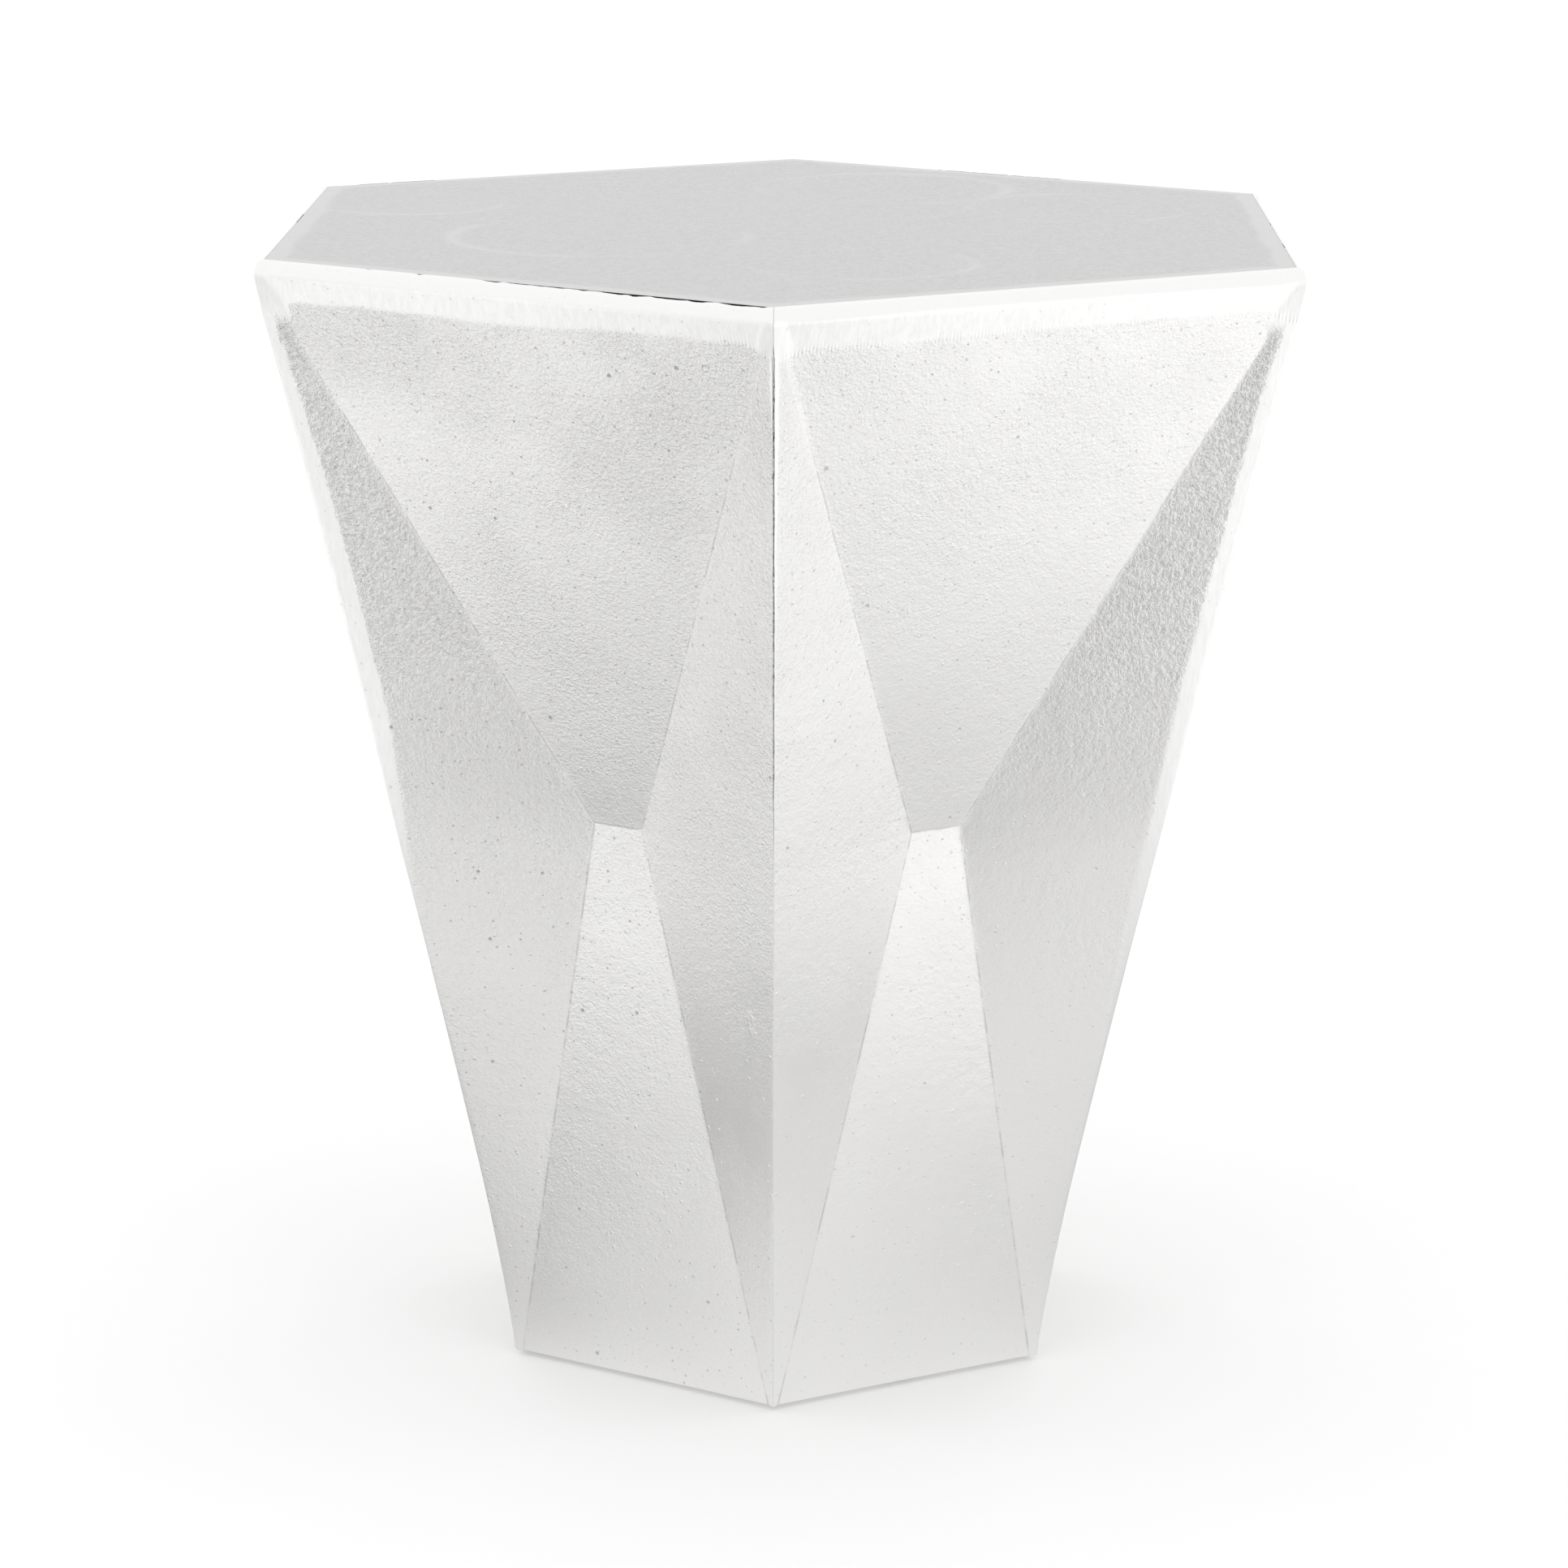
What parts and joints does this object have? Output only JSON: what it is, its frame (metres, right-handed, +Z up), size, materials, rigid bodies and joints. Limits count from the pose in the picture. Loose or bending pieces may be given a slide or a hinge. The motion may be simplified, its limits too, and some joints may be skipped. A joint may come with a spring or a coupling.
{
  "type": "side table",
  "caption": "Faceted hexagonal cast-metal side table or stool: wide flat top, tapered hollow body of creased panels meeting at diamond-shaped ridges, resting on screwed rubber glides.",
  "frame": {"origin": "on the floor under the centre of the table", "axes": "+Z up along the table's axis, from the floor towards the top; one ridge points along -Y, the front, and flat sides face +X and -X"},
  "size_m": [0.3984, 0.4598, 0.457],
  "materials": {
    "side_casting": "as-cast fine orange-peel skin with pinholes, hand-dressed bright at the rim and ridges",
    "top_casting": "sanded satin with faint swirl marks and a brighter ground border",
    "weld_bead": "rippled, unpolished",
    "glide_rubber": "matt moulded",
    "zinc_steel": "zinc plated"
  },
  "bodies": {
    "root": {"front_right_panel": "side_casting", "right_panel": "side_casting", "back_right_panel": "side_casting", "back_left_panel": "side_casting", "left_panel": "side_casting", "front_left_panel": "side_casting", "top_plate": "top_casting", "front_ridge_weld": "weld_bead", "right_front_ridge_weld": "weld_bead", "right_back_ridge_weld": "weld_bead", "back_ridge_weld": "weld_bead", "left_back_ridge_weld": "weld_bead", "left_front_ridge_weld": "weld_bead", "top_plate_weld": "weld_bead", "front_right_glide": "glide_rubber", "right_glide": "glide_rubber", "back_right_glide": "glide_rubber", "back_left_glide": "glide_rubber", "left_glide": "glide_rubber", "front_left_glide": "glide_rubber", "glide_washers": "zinc_steel", "glide_screws": "zinc_steel"}
  },
  "joints": []
}
